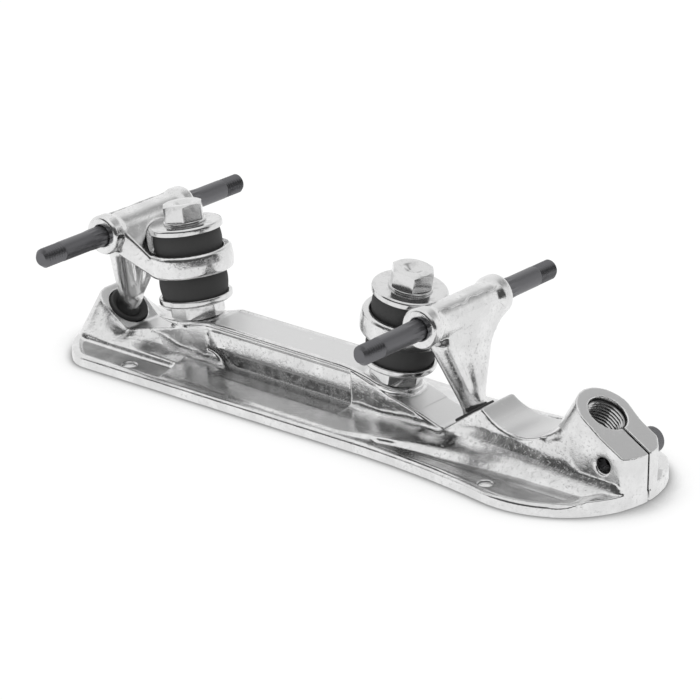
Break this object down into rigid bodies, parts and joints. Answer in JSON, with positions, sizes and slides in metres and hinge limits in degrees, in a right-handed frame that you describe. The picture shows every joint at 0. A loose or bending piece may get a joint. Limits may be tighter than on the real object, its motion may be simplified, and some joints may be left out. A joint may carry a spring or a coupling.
{
  "type": "quad roller skate plate",
  "caption": "Cast quad roller-skate plate with sprung trucks on rubber cushions, bare wheel axles and a split, threaded toe-stop boss.",
  "frame": {"origin": "on the flat sole face, on the middle line, midway between the two axles", "axes": "+X towards the toe, +Y to the side where the clamp screw's head is, +Z from the sole to the wheels"},
  "size_m": [0.2716, 0.1168, 0.0652],
  "materials": {
    "cast_alloy": "tumbled casting",
    "zinc_steel": "bright zinc",
    "dark_steel": "dark oiled",
    "black_rubber": "matte"
  },
  "bodies": {
    "plate": {"baseplate": "cast_alloy", "front_pivot_cup": "black_rubber", "front_lower_retainer": "zinc_steel", "front_lower_cushion": "black_rubber", "front_upper_cushion": "black_rubber", "front_upper_retainer": "zinc_steel", "front_head_washer": "zinc_steel", "rear_pivot_cup": "black_rubber", "rear_lower_retainer": "zinc_steel", "rear_lower_cushion": "black_rubber", "rear_upper_cushion": "black_rubber", "rear_upper_retainer": "zinc_steel", "rear_head_washer": "zinc_steel"},
    "toe_clamp": {"toe_clamp_bolt": "dark_steel"},
    "front_truck": {"front_hanger": "cast_alloy", "front_axle": "dark_steel"},
    "front_adjuster": {"front_kingpin": "zinc_steel"},
    "front_locknut": {"front_lock_nut": "zinc_steel"},
    "rear_truck": {"rear_hanger": "cast_alloy", "rear_axle": "dark_steel"},
    "rear_adjuster": {"rear_kingpin": "zinc_steel"},
    "rear_locknut": {"rear_lock_nut": "zinc_steel"}
  },
  "joints": [
    {"name": "toe_clamp_turn", "type": "hinge", "parent": "plate", "child": "toe_clamp", "pos_m": [0.15618, 0, 0.0156], "axis": [0, 1, 0], "range_deg": [-180, 180]},
    {"name": "front_steer", "type": "hinge", "parent": "plate", "child": "front_truck", "pos_m": [0.08921, 0, 0.01231], "axis": [-0.7737, 0, 0.6335], "range_deg": [-8, 8], "stiffness_Nm_per_rad": 60, "deforming": ["front_lower_cushion", "front_upper_cushion"]},
    {"name": "front_kingpin_turn", "type": "hinge", "parent": "plate", "child": "front_adjuster", "pos_m": [0.05008, 0, 0.019], "axis": [0.1736, 0, 0.9848], "range_deg": [-180, 180]},
    {"name": "front_lock_nut_turn", "type": "hinge", "parent": "plate", "child": "front_locknut", "pos_m": [0.05008, 0, 0.019], "axis": [0.1736, 0, 0.9848], "range_deg": [-180, 180]},
    {"name": "rear_steer", "type": "hinge", "parent": "plate", "child": "rear_truck", "pos_m": [-0.08921, 0, 0.01231], "axis": [0.7737, 0, 0.6335], "range_deg": [-8, 8], "stiffness_Nm_per_rad": 60, "deforming": ["rear_lower_cushion", "rear_upper_cushion"]},
    {"name": "rear_kingpin_turn", "type": "hinge", "parent": "plate", "child": "rear_adjuster", "pos_m": [-0.05008, 0, 0.019], "axis": [-0.1736, 0, 0.9848], "range_deg": [-180, 180]},
    {"name": "rear_lock_nut_turn", "type": "hinge", "parent": "plate", "child": "rear_locknut", "pos_m": [-0.05008, 0, 0.019], "axis": [-0.1736, 0, 0.9848], "range_deg": [-180, 180]}
  ]
}
